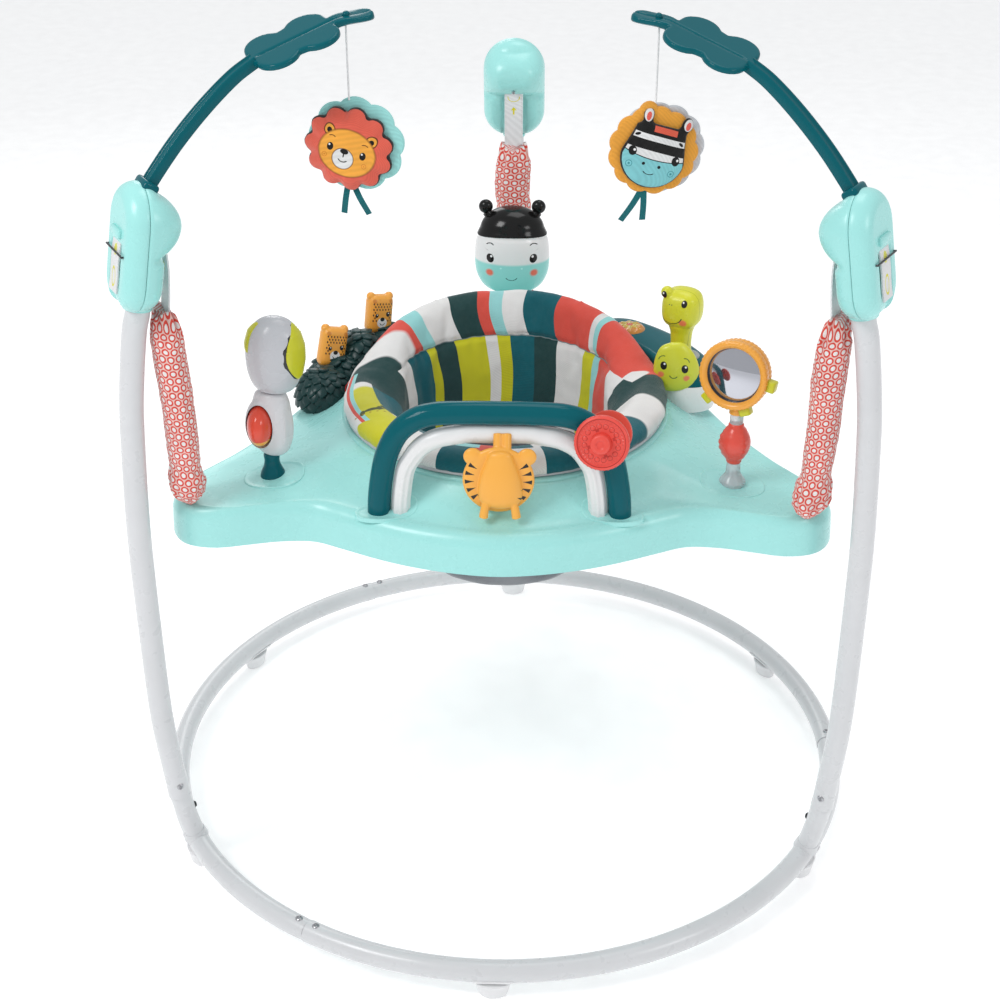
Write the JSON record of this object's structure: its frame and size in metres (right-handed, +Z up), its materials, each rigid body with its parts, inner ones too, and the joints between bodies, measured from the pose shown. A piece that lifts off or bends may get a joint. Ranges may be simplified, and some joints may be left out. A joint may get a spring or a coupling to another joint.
{
  "type": "activity jumper",
  "caption": "Baby activity jumper: ring base and curved uprights hang a bouncing play tray with a turning fabric seat, rail, tray toys and soft toys on arms.",
  "frame": {"origin": "bottom centre of the whole object's box, on the floor", "axes": "+Z up, -Y to the front rail, +X to the mirror toy's side"},
  "size_m": [0.8643, 0.8926, 0.9922],
  "materials": {
    "painted_steel": "white powder coat",
    "foot_plastic": "moulded",
    "aqua_plastic": "satin moulded",
    "teal_plastic": "gloss moulded",
    "white_plastic": "satin moulded",
    "grey_plastic": "satin moulded",
    "smoke_plastic": "clear grey moulded",
    "coral_plastic": "moulded",
    "amber_plastic": "moulded",
    "flower_plastic": "gloss moulded",
    "lime_plastic": "moulded",
    "pine_plastic": "moulded leaves",
    "zebra_plastic": "printed moulding",
    "webbing": "woven strap",
    "spring_steel": "zinc plated",
    "cover_fabric": "printed cotton",
    "seat_fabric": "printed polyester",
    "lion_fabric": "printed velour",
    "zebra_fabric": "printed velour",
    "string": "braided cord",
    "mirror": "mirror film"
  },
  "bodies": {
    "frame": {"base_tube_right": "painted_steel", "base_tube_back": "painted_steel", "base_tube_left": "painted_steel", "upright_right": "painted_steel", "upright_back": "painted_steel", "upright_left": "painted_steel", "foot_right": "foot_plastic", "foot_back_right": "foot_plastic", "foot_back": "foot_plastic", "foot_back_left": "foot_plastic", "foot_left": "foot_plastic", "foot_front": "foot_plastic", "tower_outer_right": "aqua_plastic", "tower_outer_back": "aqua_plastic", "tower_outer_left": "aqua_plastic", "tower_inner_right": "aqua_plastic", "tower_inner_back": "aqua_plastic", "tower_inner_left": "aqua_plastic", "toy_arm_left": "teal_plastic", "toy_arm_right": "teal_plastic"},
    "hanger": {"hanger_strap_right": "webbing", "hanger_strap_back": "webbing", "hanger_strap_left": "webbing", "spring_right": "spring_steel", "spring_back": "spring_steel", "spring_left": "spring_steel", "spring_cover_right": "cover_fabric", "spring_cover_back": "cover_fabric", "spring_cover_left": "cover_fabric"},
    "tail_right": {"strap_tail_right": "webbing"},
    "tail_back": {"strap_tail_back": "webbing"},
    "tail_left": {"strap_tail_left": "webbing"},
    "tray": {"tray_shell": "aqua_plastic", "rail_outer": "teal_plastic", "rail_inner": "white_plastic", "beetle_post": "teal_plastic", "mirror_post": "smoke_plastic", "console_base": "white_plastic", "console_top": "teal_plastic", "planter": "pine_plastic"},
    "seat": {"seat_ring": "grey_plastic", "seat_fabric": "seat_fabric"},
    "beetle": {"beetle_body": "grey_plastic"},
    "beetle_head": {"beetle_head": "grey_plastic"},
    "roller": {"roller_ball": "coral_plastic"},
    "mirror": {"mirror_frame": "amber_plastic", "mirror_glass": "mirror"},
    "bead": {"mirror_bead": "coral_plastic"},
    "cub_front": {"cub_front": "amber_plastic"},
    "cub_rear": {"cub_rear": "amber_plastic"},
    "tiger": {"tiger": "amber_plastic"},
    "spinner": {"spinner_disc": "coral_plastic"},
    "frog": {"frog": "lime_plastic"},
    "turtle": {"turtle": "lime_plastic"},
    "flower_button": {"flower_button": "flower_plastic"},
    "zebra": {"zebra_head": "zebra_plastic"},
    "lion_toy": {"lion_string": "string", "lion_pad": "lion_fabric"},
    "zebra_toy": {"zebra_toy_string": "string", "zebra_toy_pad": "zebra_fabric"}
  },
  "joints": [
    {"name": "height_adjust", "type": "slide", "parent": "frame", "child": "hanger", "axis": [0, 0, 1], "range_m": [0, 0.05], "deforming": ["hanger_strap_right", "hanger_strap_back", "hanger_strap_left"]},
    {"name": "tail_slide_right", "type": "slide", "parent": "frame", "child": "tail_right", "axis": [-0.1534, 0.0885, 0.9842], "range_m": [-0.05, 0]},
    {"name": "tail_slide_back", "type": "slide", "parent": "frame", "child": "tail_back", "axis": [0, -0.1771, 0.9842], "range_m": [-0.05, 0]},
    {"name": "tail_slide_left", "type": "slide", "parent": "frame", "child": "tail_left", "axis": [0.1534, 0.0885, 0.9842], "range_m": [-0.05, 0]},
    {"name": "tray_bounce", "type": "slide", "parent": "hanger", "child": "tray", "axis": [0, 0, 1], "range_m": [-0.12, 0.03], "stiffness_N_per_m": 1100, "springref_m": 0.04, "deforming": ["spring_right", "spring_back", "spring_left", "spring_cover_right", "spring_cover_back", "spring_cover_left"]},
    {"name": "seat_turn", "type": "hinge", "parent": "tray", "child": "seat", "pos_m": [0, -0.01375, 0.5], "axis": [0, 0, 1], "continuous": true},
    {"name": "beetle_turn", "type": "hinge", "parent": "tray", "child": "beetle", "pos_m": [-0.255, -0.14775, 0.515], "axis": [0, 0, 1], "continuous": true},
    {"name": "beetle_head_turn", "type": "hinge", "parent": "beetle", "child": "beetle_head", "pos_m": [-0.255, -0.14775, 0.592], "axis": [0, 0, 1], "continuous": true},
    {"name": "roller_roll", "type": "hinge", "parent": "beetle", "child": "roller", "pos_m": [-0.263, -0.15775, 0.5545], "axis": [1, 0, 0], "continuous": true},
    {"name": "mirror_turn", "type": "hinge", "parent": "tray", "child": "mirror", "pos_m": [0.255, -0.15175, 0.578], "axis": [0, 0, 1], "range_deg": [-90, 90]},
    {"name": "bead_spin", "type": "hinge", "parent": "tray", "child": "bead", "pos_m": [0.255, -0.15175, 0.538], "axis": [0, 0, 1], "continuous": true},
    {"name": "tiger_swing", "type": "hinge", "parent": "tray", "child": "tiger", "pos_m": [0.004, -0.21375, 0.5759], "axis": [1, 0, 0], "range_deg": [-45, 0]},
    {"name": "spinner_spin", "type": "hinge", "parent": "tray", "child": "spinner", "pos_m": [0.107, -0.24125, 0.58], "axis": [-0.1701, -0.9505, 0.2601], "continuous": true},
    {"name": "cub_front_rock", "type": "hinge", "parent": "tray", "child": "cub_front", "pos_m": [-0.2092, 0.07939, 0.531], "axis": [-0.9135, 0.4067, 0], "range_deg": [-18, 18], "stiffness_Nm_per_rad": 0.05},
    {"name": "cub_rear_rock", "type": "hinge", "parent": "tray", "child": "cub_rear", "pos_m": [-0.15908, 0.15098, 0.546], "axis": [-0.6947, 0.7193, 0], "range_deg": [-18, 18], "stiffness_Nm_per_rad": 0.05},
    {"name": "frog_turn", "type": "hinge", "parent": "tray", "child": "frog", "pos_m": [0.209, 0.07125, 0.5443], "axis": [0, 0, 1], "range_deg": [-60, 60]},
    {"name": "turtle_press", "type": "slide", "parent": "tray", "child": "turtle", "axis": [0, 1, 0], "range_m": [0, 0.003], "stiffness_N_per_m": 400},
    {"name": "flower_press", "type": "slide", "parent": "tray", "child": "flower_button", "axis": [0, 0, -1], "range_m": [0, 0.003], "stiffness_N_per_m": 400},
    {"name": "zebra_turn", "type": "hinge", "parent": "tray", "child": "zebra", "pos_m": [0, 0.31125, 0.559], "axis": [0, 0, 1], "range_deg": [-45, 45]},
    {"name": "lion_toy_swing", "type": "hinge", "parent": "frame", "child": "lion_toy", "pos_m": [-0.15588, -0.10375, 0.974], "axis": [1, 0, 0], "range_deg": [-35, 35]},
    {"name": "zebra_toy_swing", "type": "hinge", "parent": "frame", "child": "zebra_toy", "pos_m": [0.15588, -0.10375, 0.974], "axis": [1, 0, 0], "range_deg": [-35, 35]}
  ],
  "couplings": [
    {"joint": "tail_slide_right", "follows": "height_adjust", "ratio": -1},
    {"joint": "tail_slide_back", "follows": "height_adjust", "ratio": -1},
    {"joint": "tail_slide_left", "follows": "height_adjust", "ratio": -1}
  ]
}
